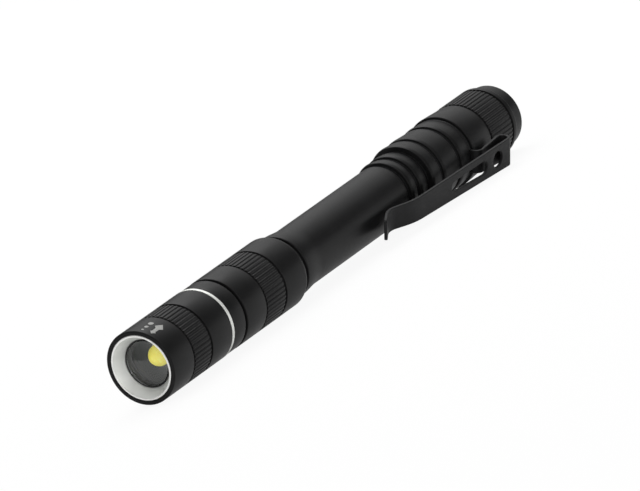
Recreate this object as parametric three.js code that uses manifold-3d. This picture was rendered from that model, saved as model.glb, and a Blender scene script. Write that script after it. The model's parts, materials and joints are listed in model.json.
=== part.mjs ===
// Slim pocket flashlight with a sliding focus head: two AAA cells in line, a lens that slides
// to and from the LED, a push switch in a screwed tail cap, and a spring-steel pocket clip.
// Millimetres, +Z up. The light lies on its side, beam along -X and tail along +X, rolled about
// that axis until the clip rests on the same surface. Stations along the axis are counted from
// the front rim towards the tail.
import * as THREE from 'three';
import { mergeVertices } from 'three/addons/utils/BufferGeometryUtils.js';
import Module from 'manifold-3d';

const wasm = await Module();
wasm.setup();

// Clearances
const FIT = 0.15; // radial, between pieces that stay put
const RUN = 0.25; // radial, between pieces that slide or turn
const SEAT = 0.1; // axial, between faces that bear on each other
const SQUEEZE = 0.05; // radial, between a seal ring and the wall that it seals

// Sides of round pieces
const SHELL_SIDES = 32;
const SMALL_SIDES = 20;
const ARC_STEPS = 4;

// Cells, AAA size
const CELL_RADIUS = 5.25;
const CELL_LENGTH = 44.5;
const NUB_RADIUS = 1.9;
const NUB_HEIGHT = 0.9;
const CELL_EDGE = 0.4;
const CELL_PLAY = 0.35;
const CELL_STOP = 0.5; // from the bore step to the front cell's shoulder

// Walls of the turned shells, each on the bore inside it
const TUBE_WALL = 1.2;
const TUBE_SPIGOT_WALL = 1.0;
const BODY_WALL = 1.4;
const NECK_BORE = 5.2;
const NECK_WALL = 1.3;
const COLLAR_WALL = 0.5;
const SLEEVE_WALL = 0.8;
const RIM_WALL = 0.9;
const CAP_SPIGOT_WALL = 1.0;
const GRIP_WALL = 1.35;
const CAP_WALL = 2.57;

// Straight flutes, with a relief groove at each end of a fluted stretch
const FLUTE_COUNT = 52;
const FLUTE_DEPTH = 0.25;
const FLUTE_LAND = 0.35; // share of the pitch that stays at full height
const FLUTE_ROOT = 0.2;
const RELIEF_WIDTH = 0.6;
const RELIEF_DEPTH = 0.35;

// Focus head, front to rear
const HEAD_FRONT = 7.8;
const HEAD_FLUTES = 6.4;
const HEAD_REAR = 7.9;
const BRIGHT_RING = 1.0;
const COLLAR_FLANGE = 4.6;
const COLLAR_DROP = 0.1; // collar and bright ring below the sleeve
const HEAD_GAP = 0.8; // open gap behind the head when it is pushed in
const HEAD_TRAVEL = 6;
const EDGE = 0.2;

// Front body and tube
const BODY_FRONT = 7.7;
const BODY_FLUTES = 7.4;
const BODY_REAR = 7.7;
const BODY_SHOULDER = 1.9;
const SHOULDER_DROP = 0.8;
const SEAM = 0.4;
const SEAM_DEPTH = 0.3;
const TUBE_SPIGOT = 9.3;
const FLARE_HEIGHT = 0.5;
const FLARE_LENGTH = 2.8;
const FLARE_FADE = 2.6;
const TUBE_OVERRUN = 0.4; // tube beyond the rear cell

// Grip rings on the tail of the tube, front to rear
const LOW_RINGS = [{ length: 3.5, height: 0.55 }, { length: 4.2, height: 0.65 }];
const HIGH_RINGS = [{ length: 4.9 }, { length: 7.6 }, { length: 5.3 }];
const RING_FALL = 0.15;
const RING_GROOVE = 0.7;
const RING_GROOVE_DEPTH = 0.4;

// Tail cap
const CAP_SPIGOT = 9;
const CAP_BAND = 8.3;
const CAP_BAND_RISE = 0.28; // front edge of the smooth band above the flutes
const CAP_BAND_DROP = 0.12; // rear edge of the band below the flutes
const CAP_FLUTES = 8.7;
const CAP_REAR = 1.2;
const CAP_STEP = 0.8;
const CAP_STEP_DROP = 0.85;
const CAP_END = 3.5;
const CAP_END_ROUND = 0.7;
const CAP_END_WALL = 3;
const THREAD_RELIEF = 0.3; // beyond the nose of each spigot

// Optics
const BEZEL_SETBACK = 0.2;
const BEZEL_LIP = 0.45;
const BEZEL_DEPTH = 2.4;
const BEZEL_FOOT = 0.4;
const THROAT_GAP = 0.3;
const LENS_RADIUS = 5.1;
const LENS_RISE = 1.1;
const LENS_FLANGE = 1.4;
const LENS_BOSS = 0.3;
const SEAL_THICKNESS = 1.0;
const LENS_SHOULDER = 2.4;

// Light engine
const LED_GAP = 0.2; // from the back of the lens to the LED, head pushed in
const LED_DOME_RADIUS = 1.8;
const LED_DOME_HEIGHT = 1.0;
const LED_BASE_SIDE = 2.7;
const LED_BASE_HEIGHT = 0.8;
const BOARD_THICKNESS = 1.2;
const PILL_LENGTH = 22.3;
const PILL_POCKET = 13;
const PILL_WALL = 0.85;
const COIL_RADIUS = 1.8;
const COIL_HEIGHT = 3;
const FRONT_SPRING = 4.3;
const FRONT_SPRING_RADIUS = 2.6;
const SPRING_WIRE = 0.3; // radius of the wire

// Head stop and seals
const STOP_SETBACK = 2.2;
const STOP_THICKNESS = 1.0;
const STOP_DEPTH = 0.4;
const SEAL_SECTION = 0.28; // radius of a seal ring's section
const SEAL_FROM_FACE = 2;

// Tail switch
const BUTTON_HOLE = 4.4;
const BUTTON_FLANGE = 1.4;
const BUTTON_RECESS = 0.4;
const BUTTON_CROWN = 0.6;
const BUTTON_TRAVEL = 1.5;
const SWITCH_LENGTH = 8;
const SWITCH_POCKET = 4;
const SWITCH_POCKET_RADIUS = 3.2;
const PLUNGER_RADIUS = 1.6;
const PLUNGER_REACH = 1.6; // below the pocket's floor
const SWITCH_SPRING_WIRE = 0.22;
const RETAINER_THICKNESS = 1.6;
const RETAINER_WALL = 1.1;
const TAIL_SPRING_TIP = 2.6;

// Pocket clip
const CLIP_SHEET = 0.7;
const CLIP_WIDTH = 6.5;
const CLIP_TAB_WIDTH = 5.4;
const CLIP_TIP_WIDTH = 4.9;
const CLIP_TIP_ROUND = 1.6;
const CLIP_CLEARANCE = 0.8; // from the tail cap to the inner leg
const CLIP_LEG = 8.2;
const CLIP_TAB_BEND = 1.5;
const CLIP_BEND = 1.35; // radius of the return bend at mid-sheet
const CLIP_PLATE = 37.6;
const CLIP_TILT = THREE.MathUtils.degToRad(3.3);
const CLIP_KINK = 2.6; // length of the plate's front bend on each side of its corner
const CLIP_NOSE_ANGLE = THREE.MathUtils.degToRad(21);
const CLIP_TIP_BEND = 1.6; // the same for the bend at the tip
const CLIP_TIP_GAP = 0.3;
const CLIP_LIP = 5.4;
const CLIP_LIP_ANGLE = THREE.MathUtils.degToRad(31);
const CLIP_SEAM = 0.3;
const CLIP_SEAM_SETBACK = 1; // the seam stands this far before the return bend
const WASHER_SETBACK = 0.25; // below the grip rings
const CLIP_HOLE_RADIUS = 1.85;
const CLIP_HOLE_SETBACK = 4.5;
const CLIP_SLOT_SETBACK = 8.75;
const CLIP_SLOT_LENGTH = 14.4;
const CLIP_SLOT_REAR = 1.45; // radius of the slot's wide end
const CLIP_SLOT_FRONT = 1;

// Radii worked outwards from the bores
const TUBE_BORE = CELL_RADIUS + CELL_PLAY;
const TUBE_RADIUS = TUBE_BORE + TUBE_WALL;
const TUBE_SPIGOT_RADIUS = TUBE_BORE + TUBE_SPIGOT_WALL;
const BODY_SOCKET = TUBE_SPIGOT_RADIUS + FIT;
const BODY_RADIUS = BODY_SOCKET + BODY_WALL;
const NECK_RADIUS = NECK_BORE + NECK_WALL;
const COLLAR_BORE = NECK_RADIUS + RUN;
const COLLAR_SPIGOT = COLLAR_BORE + COLLAR_WALL;
const SLEEVE_BORE = COLLAR_SPIGOT + FIT;
const HEAD_RADIUS = SLEEVE_BORE + SLEEVE_WALL;
const MOUTH_BORE = HEAD_RADIUS - RIM_WALL;
const CAP_SPIGOT_RADIUS = TUBE_BORE + CAP_SPIGOT_WALL;
const GRIP_SOCKET = CAP_SPIGOT_RADIUS + RUN;
const GRIP_RADIUS = GRIP_SOCKET + GRIP_WALL;
const WASHER_RADIUS = GRIP_RADIUS - WASHER_SETBACK;
const CAP_RADIUS = TUBE_BORE + CAP_WALL;
const CAP_BAND_RADIUS = CAP_RADIUS + CAP_BAND_RISE;

// Stations of the focus head
const SLEEVE_END = HEAD_FRONT + RELIEF_WIDTH + HEAD_FLUTES + RELIEF_WIDTH + HEAD_REAR;
const RING_END = SLEEVE_END + BRIGHT_RING;
const COLLAR_END = RING_END + COLLAR_FLANGE;
const BEZEL_END = BEZEL_SETBACK + BEZEL_DEPTH + BEZEL_FOOT;
const LENS_FLANGE_FRONT = BEZEL_END + SEAT + SEAL_THICKNESS + SEAT;
const LENS_FLANGE_REAR = LENS_FLANGE_FRONT + LENS_FLANGE;
const LENS_BACK = LENS_FLANGE_REAR + LENS_BOSS;
const SHOULDER_FRONT = LENS_FLANGE_REAR + SEAT;
const SHOULDER_REAR = SHOULDER_FRONT + LENS_SHOULDER;

// Stations of the front body and the light engine
const NECK_FRONT = SHOULDER_REAR + HEAD_GAP;
const STOP_FRONT = NECK_FRONT + STOP_SETBACK;
const STOP_REAR = STOP_FRONT + STOP_THICKNESS;
const COLLAR_FRONT = STOP_REAR + HEAD_TRAVEL + RUN;
const FOCUS_SEAL = (COLLAR_FRONT + COLLAR_END - HEAD_TRAVEL) / 2;
const BODY_START = COLLAR_END + HEAD_GAP;
const BODY_FLUTES_END = BODY_START + BODY_FRONT + RELIEF_WIDTH + BODY_FLUTES + RELIEF_WIDTH;
const SHOULDER_START = BODY_FLUTES_END + BODY_REAR;
const BODY_END = SHOULDER_START + BODY_SHOULDER;
const LED_FRONT = LENS_BACK + LED_GAP;
const LED_BASE_FRONT = LED_FRONT + LED_DOME_HEIGHT + SEAT;
const BOARD_FRONT = LED_BASE_FRONT + LED_BASE_HEIGHT + SEAT;
const PILL_FRONT = BOARD_FRONT + BOARD_THICKNESS + SEAT;
const PILL_END = PILL_FRONT + PILL_LENGTH;
const CELLS_START = PILL_END + SEAT + FRONT_SPRING + SEAT;

// Stations of the tube, the cells and the tail
const REAR_CELL_START = CELLS_START + CELL_LENGTH + SEAT;
const CELLS_END = REAR_CELL_START + CELL_LENGTH;
const TUBE_START = BODY_END + SEAM;
const TUBE_NOSE = TUBE_START - TUBE_SPIGOT;
const TUBE_END = CELLS_END + TUBE_OVERRUN;
const RING_STRETCH = [...LOW_RINGS, ...HIGH_RINGS].reduce((sum, ring) => sum + ring.length, 0);
const WASHER_FRONT = TUBE_END + SEAT;
const CAP_START = WASHER_FRONT + CLIP_SHEET + SEAT;
const CAP_NOSE = CAP_START - CAP_SPIGOT;
const CAP_BAND_END = CAP_START + CAP_BAND;
const CAP_FLUTES_END = CAP_BAND_END + RELIEF_WIDTH + CAP_FLUTES + RELIEF_WIDTH;
const CAP_STEP_START = CAP_FLUTES_END + CAP_REAR;
const LENGTH = CAP_STEP_START + CAP_STEP + CAP_END;
const CAP_FLOOR = LENGTH - CAP_END_WALL;
const BUTTON_FRONT = CAP_FLOOR - SEAT - BUTTON_FLANGE;
const SWITCH_REAR = BUTTON_FRONT - BUTTON_TRAVEL - RUN;
const SWITCH_FRONT = SWITCH_REAR - SWITCH_LENGTH;
const POCKET_FLOOR = SWITCH_REAR - SWITCH_POCKET;

// The clip in side view: distance from the axis and station
const LEG_HEIGHT = CAP_BAND_RADIUS + CLIP_CLEARANCE + CLIP_SHEET / 2;
const BEND_STATION = WASHER_FRONT + CLIP_SHEET / 2 + CLIP_LEG;
const SEAM_STATION = BEND_STATION - CLIP_SEAM_SETBACK;
const PLATE_HEIGHT = LEG_HEIGHT + 2 * CLIP_BEND;

// Roll that sets the outer rear corner of the clip on the surface under the tail cap's band
const CORNER_HEIGHT = PLATE_HEIGHT + CLIP_SHEET / 2;
const CORNER_REACH = Math.hypot(CORNER_HEIGHT, CLIP_WIDTH / 2);
const ROLL = Math.asin(CAP_BAND_RADIUS / CORNER_REACH) - Math.atan2(CLIP_WIDTH / 2, CORNER_HEIGHT);

function finish(color, roughness, metalness) {
  return new THREE.MeshStandardMaterial({ color, roughness, metalness });
}

const anodisedBlack = finish(0x1d1d1f, 0.42, 0.6);
const bareAluminium = finish(0xc9ccc8, 0.25, 1);
const blackSteel = finish(0x2b2c2d, 0.38, 0.7);
const springSteel = finish(0xb9bbbd, 0.3, 1);
const brass = finish(0xc39b4e, 0.35, 1);
const blackRubber = finish(0x161616, 0.8, 0);
const blackPlastic = finish(0x222224, 0.6, 0);
const whiteCeramic = finish(0xe9e7df, 0.5, 0);
const boardLaminate = finish(0x22241f, 0.55, 0);
const yellowPhosphor = finish(0xe8dc4a, 0.4, 0);
const cellWrap = finish(0x4a6b8c, 0.35, 0.3);
const clearLens = new THREE.MeshStandardMaterial({
  color: 0xdfe5e4,
  roughness: 0.05,
  metalness: 0,
  transparent: true,
  opacity: 0.35,
});

// Solid of revolution from an outline of [radius, station] points, counter-clockwise with the
// station upwards. An outline that leaves the axis also ends on it; any other closes on itself.
function turn(outline, sides = SHELL_SIDES) {
  const points = outline.map(([radius, station]) => new THREE.Vector2(radius, station));
  if (points[0].x > 0) points.push(points[0].clone());
  return new THREE.LatheGeometry(points, sides, Math.PI / sides);
}

// Plain ring or sleeve with a rectangular section
function ring(inner, outer, front, rear, sides = SMALL_SIDES) {
  return turn([[inner, front], [outer, front], [outer, rear], [inner, rear]], sides);
}

// Plain disc
function disc(radius, front, rear, sides = SMALL_SIDES) {
  return turn([[0, front], [radius, front], [radius, rear], [0, rear]], sides);
}

// Seal ring with a six-sided section that just clears the wall outside it
function sealRing(wall, station) {
  const middle = wall - SQUEEZE - SEAL_SECTION;
  const section = [];
  for (let corner = 0; corner < 6; corner += 1) {
    const angle = (corner * Math.PI) / 3;
    section.push([middle + SEAL_SECTION * Math.cos(angle), station + SEAL_SECTION * Math.sin(angle)]);
  }
  return turn(section, SMALL_SIDES);
}

// Groove for such a ring, as outline points along a shaft of the given radius
function sealGroove(wall, shaft, station) {
  const floor = wall - SQUEEZE - 2 * SEAL_SECTION - FIT;
  const half = SEAL_SECTION + SQUEEZE;
  return [[shaft, station - half], [floor, station - half], [floor, station + half], [shaft, station + half]];
}

// Spherical cap as outline points from the axis out to the rim
function crown(radius, rise, apex, direction = 1) {
  const sphere = (radius * radius + rise * rise) / (2 * rise);
  const spread = Math.asin(radius / sphere);
  const points = [];
  for (let step = 0; step <= ARC_STEPS; step += 1) {
    const angle = (spread * step) / ARC_STEPS;
    points.push([sphere * Math.sin(angle), apex + direction * sphere * (1 - Math.cos(angle))]);
  }
  points[0][0] = 0;
  return points;
}

function toSolid(geometry) {
  const bare = geometry.clone();
  bare.deleteAttribute('normal');
  bare.deleteAttribute('uv');
  const merged = mergeVertices(bare);
  const vertProperties = Float32Array.from(merged.attributes.position.array);
  const triVerts = Uint32Array.from(merged.index.array);
  return new wasm.Manifold(new wasm.Mesh({ numProp: 3, vertProperties, triVerts }));
}

function toGeometry(solid) {
  const mesh = solid.getMesh();
  const geometry = new THREE.BufferGeometry();
  geometry.setAttribute('position', new THREE.BufferAttribute(mesh.vertProperties, 3));
  geometry.setIndex(new THREE.BufferAttribute(mesh.triVerts, 1));
  geometry.computeVertexNormals();
  return geometry;
}

function join(first, second) {
  return toGeometry(toSolid(first).add(toSolid(second)));
}

function common(first, second) {
  return toGeometry(toSolid(first).intersect(toSolid(second)));
}

// Fluted ring: flat lands with a V between each two, rooted in the wall under it
function fluteRing(radius, front, length) {
  const pitch = (2 * Math.PI) / FLUTE_COUNT;
  const halfLand = (pitch * FLUTE_LAND) / 2;
  const points = [];
  for (let flute = 0; flute < FLUTE_COUNT; flute += 1) {
    const angle = flute * pitch;
    points.push(polar(radius, angle - halfLand));
    points.push(polar(radius, angle + halfLand));
    points.push(polar(radius - FLUTE_DEPTH, angle + pitch / 2));
  }
  const outline = new THREE.Shape(points);
  const root = radius - RELIEF_DEPTH - FLUTE_ROOT;
  const bore = [];
  for (let side = 0; side < SHELL_SIDES; side += 1) {
    bore.push(polar(root, (side * 2 * Math.PI) / SHELL_SIDES));
  }
  outline.holes.push(new THREE.Path(bore));
  const geometry = new THREE.ExtrudeGeometry(outline, { depth: length, bevelEnabled: false });
  geometry.rotateX(-Math.PI / 2);
  geometry.translate(0, front, 0);
  return geometry;
}

function polar(radius, angle) {
  return new THREE.Vector2(radius * Math.cos(angle), radius * Math.sin(angle));
}

// Recess that a fluted ring stands in, as outline points
function fluteRecess(radius, front, flutes) {
  const floor = radius - RELIEF_DEPTH;
  const rear = front + RELIEF_WIDTH + flutes + RELIEF_WIDTH;
  return [[radius, front], [floor, front], [floor, rear], [radius, rear]];
}

class CoilCurve extends THREE.Curve {
  constructor(front, rear, frontRadius, rearRadius, turns) {
    super();
    Object.assign(this, { front, rear, frontRadius, rearRadius, turns });
  }

  getPoint(t, target = new THREE.Vector3()) {
    const angle = t * this.turns * 2 * Math.PI;
    const radius = THREE.MathUtils.lerp(this.frontRadius, this.rearRadius, t);
    const station = THREE.MathUtils.lerp(this.front, this.rear, t);
    return target.set(radius * Math.sin(angle), station, radius * Math.cos(angle));
  }
}

// Coil spring between two seats
function coilSpring(front, rear, frontRadius, rearRadius, turns, wire) {
  const corners = 5;
  const stepsPerTurn = 9;
  const section = [];
  for (let corner = 0; corner < corners; corner += 1) {
    section.push(polar(wire, (corner * 2 * Math.PI) / corners));
  }
  return new THREE.ExtrudeGeometry(new THREE.Shape(section), {
    steps: turns * stepsPerTurn,
    extrudePath: new CoilCurve(front + wire, rear - wire, frontRadius, rearRadius, turns),
    bevelEnabled: false,
  });
}

// Focus head

function headSleeve() {
  const shoulderBore = LENS_RADIUS + FIT;
  const core = turn([
    [MOUTH_BORE, 0],
    [HEAD_RADIUS - EDGE, 0],
    [HEAD_RADIUS, EDGE],
    ...fluteRecess(HEAD_RADIUS, HEAD_FRONT, HEAD_FLUTES),
    [HEAD_RADIUS, SLEEVE_END],
    [SLEEVE_BORE, SLEEVE_END],
    [SLEEVE_BORE, SHOULDER_REAR],
    [shoulderBore, SHOULDER_REAR],
    [shoulderBore, SHOULDER_FRONT],
    [MOUTH_BORE, SHOULDER_FRONT],
  ]);
  return join(core, fluteRing(HEAD_RADIUS, HEAD_FRONT + RELIEF_WIDTH, HEAD_FLUTES));
}

function bezelRing() {
  const outer = MOUTH_BORE - FIT;
  const throat = LENS_RADIUS + THROAT_GAP;
  return turn([
    [outer - BEZEL_LIP, BEZEL_SETBACK],
    [outer, BEZEL_SETBACK],
    [outer, BEZEL_END],
    [throat, BEZEL_END],
    [throat, BEZEL_END - BEZEL_FOOT],
  ]);
}

function lensSeal() {
  const front = BEZEL_END + SEAT;
  return ring(LENS_RADIUS + FIT, MOUTH_BORE - FIT, front, front + SEAL_THICKNESS, SHELL_SIDES);
}

function lens() {
  const flange = MOUTH_BORE - FIT;
  const edge = BEZEL_SETBACK + BEZEL_DEPTH;
  return turn([
    ...crown(LENS_RADIUS, LENS_RISE, edge - LENS_RISE),
    [LENS_RADIUS, LENS_FLANGE_FRONT],
    [flange, LENS_FLANGE_FRONT],
    [flange, LENS_FLANGE_REAR],
    [LENS_RADIUS, LENS_FLANGE_REAR],
    [LENS_RADIUS, LENS_BACK],
    [0, LENS_BACK],
  ], SMALL_SIDES);
}

function brightRing() {
  return ring(SLEEVE_BORE, HEAD_RADIUS, SLEEVE_END + SEAT, RING_END - SEAT, SHELL_SIDES);
}

function headCollar() {
  const flange = HEAD_RADIUS - COLLAR_DROP;
  return turn([
    [COLLAR_BORE, COLLAR_FRONT],
    [COLLAR_SPIGOT, COLLAR_FRONT],
    [COLLAR_SPIGOT, RING_END],
    [flange, RING_END],
    [flange, COLLAR_END],
    [COLLAR_BORE, COLLAR_END],
  ]);
}

// Front body and light engine

function frontBody() {
  const groove = NECK_RADIUS - STOP_DEPTH;
  const socketFront = TUBE_NOSE - THREAD_RELIEF;
  const cellStop = CELLS_START + NUB_HEIGHT - CELL_STOP;
  const core = turn([
    [NECK_BORE, NECK_FRONT],
    [NECK_RADIUS, NECK_FRONT],
    [NECK_RADIUS, STOP_FRONT - SEAT],
    [groove, STOP_FRONT - SEAT],
    [groove, STOP_REAR + SEAT],
    [NECK_RADIUS, STOP_REAR + SEAT],
    ...sealGroove(COLLAR_BORE, NECK_RADIUS, FOCUS_SEAL),
    [NECK_RADIUS, BODY_START],
    [BODY_RADIUS - EDGE, BODY_START],
    [BODY_RADIUS, BODY_START + EDGE],
    ...fluteRecess(BODY_RADIUS, BODY_START + BODY_FRONT, BODY_FLUTES),
    ...bodyShoulder(),
    [BODY_SOCKET, BODY_END],
    [BODY_SOCKET, socketFront],
    [TUBE_BORE, socketFront],
    [TUBE_BORE, cellStop],
    [NECK_BORE, cellStop],
  ]);
  const flutesFront = BODY_START + BODY_FRONT + RELIEF_WIDTH;
  return join(core, fluteRing(BODY_RADIUS, flutesFront, BODY_FLUTES));
}

// Quarter-ellipse fall from the full radius to the seam
function bodyShoulder() {
  const points = [];
  for (let step = 0; step <= ARC_STEPS; step += 1) {
    const angle = ((Math.PI / 2) * step) / ARC_STEPS;
    const drop = SHOULDER_DROP * (1 - Math.cos(angle));
    points.push([BODY_RADIUS - drop, SHOULDER_START + BODY_SHOULDER * Math.sin(angle)]);
  }
  return points;
}

function stopRing() {
  const inner = NECK_RADIUS - STOP_DEPTH + FIT;
  return ring(inner, SLEEVE_BORE - RUN, STOP_FRONT, STOP_REAR);
}

function ledDome() {
  return turn([
    ...crown(LED_DOME_RADIUS, LED_DOME_HEIGHT, LED_FRONT),
    [0, LED_FRONT + LED_DOME_HEIGHT],
  ], SMALL_SIDES);
}

function ledBase() {
  const geometry = new THREE.BoxGeometry(LED_BASE_SIDE, LED_BASE_HEIGHT, LED_BASE_SIDE);
  geometry.translate(0, LED_BASE_FRONT + LED_BASE_HEIGHT / 2, 0);
  return geometry;
}

function ledPill() {
  const outer = NECK_BORE - FIT;
  const pocket = outer - PILL_WALL;
  const floor = PILL_END - PILL_POCKET;
  return turn([
    [0, PILL_FRONT],
    [outer, PILL_FRONT],
    [outer, PILL_END],
    [pocket, PILL_END],
    [pocket, floor],
    [0, floor],
  ], SMALL_SIDES);
}

function driverBoard() {
  const radius = NECK_BORE - FIT - PILL_WALL - FIT;
  return disc(radius, PILL_END - BOARD_THICKNESS, PILL_END);
}

function driverCoil() {
  const rear = PILL_END - BOARD_THICKNESS - SEAT;
  return disc(COIL_RADIUS, rear - COIL_HEIGHT, rear);
}

// Tube and cells

function batteryTube() {
  const flare = TUBE_RADIUS + FLARE_HEIGHT;
  const flareEnd = TUBE_START + FLARE_LENGTH;
  const socketFront = CAP_NOSE - THREAD_RELIEF;
  return turn([
    [TUBE_BORE, TUBE_NOSE],
    [TUBE_SPIGOT_RADIUS, TUBE_NOSE],
    ...sealGroove(BODY_SOCKET, TUBE_SPIGOT_RADIUS, BODY_END - SEAL_FROM_FACE),
    [TUBE_SPIGOT_RADIUS, TUBE_START - SEAM],
    [flare - SEAM_DEPTH, TUBE_START - SEAM + SEAT],
    [flare - SEAM_DEPTH, TUBE_START],
    [flare, TUBE_START],
    [flare, flareEnd],
    ...flareFade(flareEnd),
    ...gripRings(),
    [GRIP_SOCKET, TUBE_END],
    [GRIP_SOCKET, socketFront],
    [TUBE_BORE, socketFront],
  ]);
}

// Concave sweep from the flare down to the plain tube
function flareFade(start) {
  const points = [];
  for (let step = 1; step <= ARC_STEPS; step += 1) {
    const angle = ((Math.PI / 2) * step) / ARC_STEPS;
    const fall = FLARE_HEIGHT * Math.sin(angle);
    const reach = FLARE_FADE * (1 - Math.cos(angle));
    points.push([TUBE_RADIUS + FLARE_HEIGHT - fall, start + reach]);
  }
  return points;
}

// Stepped rings: a small groove before each one, then a slow fall towards the tail
function gripRings() {
  const rings = [
    ...LOW_RINGS.map(({ length, height }) => ({ length, radius: TUBE_RADIUS + height })),
    ...HIGH_RINGS.map(({ length }) => ({ length, radius: GRIP_RADIUS })),
  ];
  const points = [];
  let station = TUBE_END - RING_STRETCH;
  let before = TUBE_RADIUS;
  for (const { length, radius } of rings) {
    const floor = before - RING_GROOVE_DEPTH;
    points.push([before, station], [floor, station], [floor, station + RING_GROOVE]);
    points.push([radius, station + RING_GROOVE]);
    station += length;
    before = radius - RING_FALL;
  }
  points.push([before, station]);
  return points;
}

function cell(start) {
  const shoulder = start + NUB_HEIGHT;
  const end = start + CELL_LENGTH;
  return turn([
    [0, start],
    [NUB_RADIUS, start],
    [NUB_RADIUS, shoulder],
    [CELL_RADIUS - CELL_EDGE, shoulder],
    [CELL_RADIUS, shoulder + CELL_EDGE],
    [CELL_RADIUS, end - CELL_EDGE],
    [CELL_RADIUS - CELL_EDGE, end],
    [0, end],
  ], SMALL_SIDES);
}

// Tail cap and switch

function tailCap() {
  const endRadius = CAP_RADIUS - CAP_STEP_DROP;
  const core = turn([
    [TUBE_BORE, CAP_NOSE],
    [CAP_SPIGOT_RADIUS, CAP_NOSE],
    ...sealGroove(GRIP_SOCKET, CAP_SPIGOT_RADIUS, TUBE_END - SEAL_FROM_FACE),
    [CAP_SPIGOT_RADIUS, CAP_START],
    [CAP_BAND_RADIUS - EDGE, CAP_START],
    [CAP_BAND_RADIUS, CAP_START + EDGE],
    [CAP_RADIUS - CAP_BAND_DROP, CAP_BAND_END],
    ...fluteRecess(CAP_RADIUS, CAP_BAND_END, CAP_FLUTES).slice(1),
    [CAP_RADIUS, CAP_STEP_START],
    [endRadius, CAP_STEP_START + CAP_STEP],
    ...roundedEnd(endRadius),
    [BUTTON_HOLE, LENGTH],
    [BUTTON_HOLE, CAP_FLOOR],
    [TUBE_BORE, CAP_FLOOR],
  ]);
  return join(core, fluteRing(CAP_RADIUS, CAP_BAND_END + RELIEF_WIDTH, CAP_FLUTES));
}

// Rounded corner where the side meets the end face
function roundedEnd(radius) {
  const points = [];
  for (let step = 0; step <= ARC_STEPS; step += 1) {
    const angle = ((Math.PI / 2) * step) / ARC_STEPS;
    const inset = CAP_END_ROUND * (1 - Math.cos(angle));
    points.push([radius - inset, LENGTH - CAP_END_ROUND * (1 - Math.sin(angle))]);
  }
  return points;
}

function tailButton() {
  const stem = BUTTON_HOLE - RUN;
  const top = LENGTH - BUTTON_RECESS;
  return turn([
    [0, BUTTON_FRONT],
    [TUBE_BORE - RUN, BUTTON_FRONT],
    [TUBE_BORE - RUN, CAP_FLOOR - SEAT],
    [stem, CAP_FLOOR - SEAT],
    ...crown(stem, BUTTON_CROWN, top, -1).reverse(),
  ], SMALL_SIDES);
}

function switchBody() {
  const outer = TUBE_BORE - FIT;
  const hole = PLUNGER_RADIUS + RUN;
  const holeFloor = POCKET_FLOOR - PLUNGER_REACH - BUTTON_TRAVEL - RUN;
  return turn([
    [0, SWITCH_FRONT],
    [outer, SWITCH_FRONT],
    [outer, SWITCH_REAR],
    [SWITCH_POCKET_RADIUS, SWITCH_REAR],
    [SWITCH_POCKET_RADIUS, POCKET_FLOOR],
    [hole, POCKET_FLOOR],
    [hole, holeFloor],
    [0, holeFloor],
  ], SMALL_SIDES);
}

function switchPlunger() {
  return disc(PLUNGER_RADIUS, POCKET_FLOOR - PLUNGER_REACH, BUTTON_FRONT - SEAT);
}

function switchSpring() {
  const radius = (PLUNGER_RADIUS + SWITCH_POCKET_RADIUS) / 2;
  return coilSpring(POCKET_FLOOR + SEAT, BUTTON_FRONT - SEAT, radius, radius, 4, SWITCH_SPRING_WIRE);
}

function switchRetainer() {
  const rear = SWITCH_FRONT - SEAT;
  const outer = TUBE_BORE - FIT;
  return ring(outer - RETAINER_WALL, outer, rear - RETAINER_THICKNESS, rear);
}

function tailSpring() {
  const seat = TUBE_BORE - FIT - RETAINER_WALL - SPRING_WIRE - RUN;
  return coilSpring(CELLS_END + SEAT, SWITCH_FRONT - SEAT, TAIL_SPRING_TIP, seat, 5, SPRING_WIRE);
}

// Pocket clip

// Strip of sheet along a side-view path of [height, station], as wide as asked
function bentSheet(path, width) {
  const line = [];
  for (const point of path.getPoints(ARC_STEPS + 1)) {
    const previous = line[line.length - 1];
    if (!previous || previous.distanceTo(point) > SEAT) line.push(point);
  }
  const left = [];
  const right = [];
  line.forEach((point, index) => {
    const ahead = line[Math.min(index + 1, line.length - 1)];
    const behind = line[Math.max(index - 1, 0)];
    const along = ahead.clone().sub(behind).normalize();
    const across = new THREE.Vector2(-along.y, along.x).multiplyScalar(CLIP_SHEET / 2);
    left.push(point.clone().add(across));
    right.unshift(point.clone().sub(across));
  });
  const outline = new THREE.Shape([...left, ...right]);
  const geometry = new THREE.ExtrudeGeometry(outline, { depth: width, bevelEnabled: false });
  geometry.translate(0, 0, -width / 2);
  return geometry;
}

// Rounded corner of a path: straight to the bend, then round it
function bendTo(path, from, corner, to, reach) {
  const before = corner.clone().lerp(from, reach / corner.distanceTo(from));
  const after = corner.clone().lerp(to, reach / corner.distanceTo(to));
  path.lineTo(before.x, before.y);
  path.quadraticCurveTo(corner.x, corner.y, after.x, after.y);
}

function clipBase() {
  const middle = WASHER_FRONT + CLIP_SHEET / 2;
  const washerBore = CAP_SPIGOT_RADIUS + RUN;
  const washer = ring(washerBore, WASHER_RADIUS, WASHER_FRONT, WASHER_FRONT + CLIP_SHEET, SHELL_SIDES);
  const path = new THREE.Path();
  path.moveTo((washerBore + WASHER_RADIUS) / 2, middle);
  path.lineTo(LEG_HEIGHT - CLIP_TAB_BEND, middle);
  path.absarc(LEG_HEIGHT - CLIP_TAB_BEND, middle + CLIP_TAB_BEND, CLIP_TAB_BEND, -Math.PI / 2, 0, false);
  path.lineTo(LEG_HEIGHT, SEAM_STATION - CLIP_SEAM / 2);
  return join(washer, common(bentSheet(path, CLIP_WIDTH), legPlan()));
}

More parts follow.
